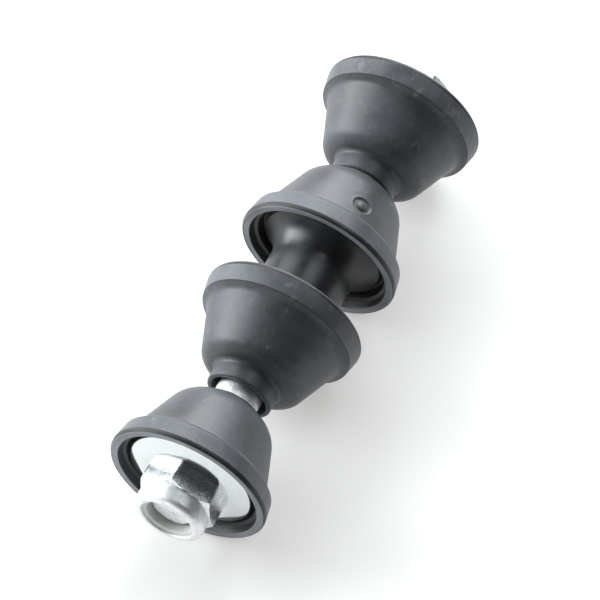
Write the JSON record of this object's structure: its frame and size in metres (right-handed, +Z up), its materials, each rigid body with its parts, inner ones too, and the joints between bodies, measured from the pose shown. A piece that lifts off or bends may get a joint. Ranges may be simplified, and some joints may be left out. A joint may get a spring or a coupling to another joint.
{
  "type": "stabilizer link",
  "caption": "Bolt-type stabilizer link: flanged rubber bushes, dished washers and a flared spacer clamped on a long hex bolt by a nylon-insert lock nut.",
  "frame": {"origin": "on the bolt's axis, in the middle of the upper outer bush's neck, where the stabilizer bar's eye is held", "axes": "+X along the bolt from the nut to the head, +Z up as the link lies on its rims, +Y to complete the frame"},
  "size_m": [0.1194, 0.036, 0.036],
  "materials": {
    "zinc_bolt": "bright zinc plate",
    "zinc_washer": "bright zinc plate, glossy",
    "zinc_nut": "bright zinc plate",
    "rubber": "moulded, satin, slightly dusty",
    "black_plastic": "moulded, satin",
    "nylon": "natural, slightly translucent"
  },
  "bodies": {
    "bolt": {"through_bolt": "zinc_bolt", "head_washer": "zinc_washer", "upper_outer_bush": "rubber"},
    "spacer": {"spacer_spool": "black_plastic"},
    "upper_inner": {"upper_inner_bush": "rubber"},
    "lower_inner": {"lower_inner_bush": "rubber"},
    "nut_seat": {"nut_washer": "zinc_washer"},
    "lower_outer": {"lower_outer_bush": "rubber"},
    "nut": {"lock_nut": "zinc_nut", "nylon_insert": "nylon"}
  },
  "joints": [
    {"name": "nut_travel", "type": "slide", "parent": "bolt", "child": "nut_seat", "axis": [1, 0, 0], "range_m": [-0.0066, 0]},
    {"name": "nut_spin", "type": "hinge", "parent": "nut_seat", "child": "nut", "pos_m": [-0.083, 0, 0], "axis": [1, 0, 0], "range_deg": [-1584, 0]},
    {"name": "lower_outer_slide", "type": "slide", "parent": "nut_seat", "child": "lower_outer", "axis": [1, 0, 0], "range_m": [0, 0.0029]},
    {"name": "spacer_slide", "type": "slide", "parent": "bolt", "child": "spacer", "axis": [1, 0, 0], "range_m": [-0.00462, 0]},
    {"name": "upper_inner_spin", "type": "hinge", "parent": "spacer", "child": "upper_inner", "pos_m": [-0.01, 0, 0], "axis": [1, 0, 0], "continuous": true},
    {"name": "lower_inner_spin", "type": "hinge", "parent": "spacer", "child": "lower_inner", "pos_m": [-0.05, 0, 0], "axis": [1, 0, 0], "continuous": true}
  ],
  "couplings": [
    {"joint": "nut_spin", "follows": "nut_travel", "rad_per_m": 4188.8},
    {"joint": "spacer_slide", "follows": "nut_travel", "ratio": 0.7}
  ]
}
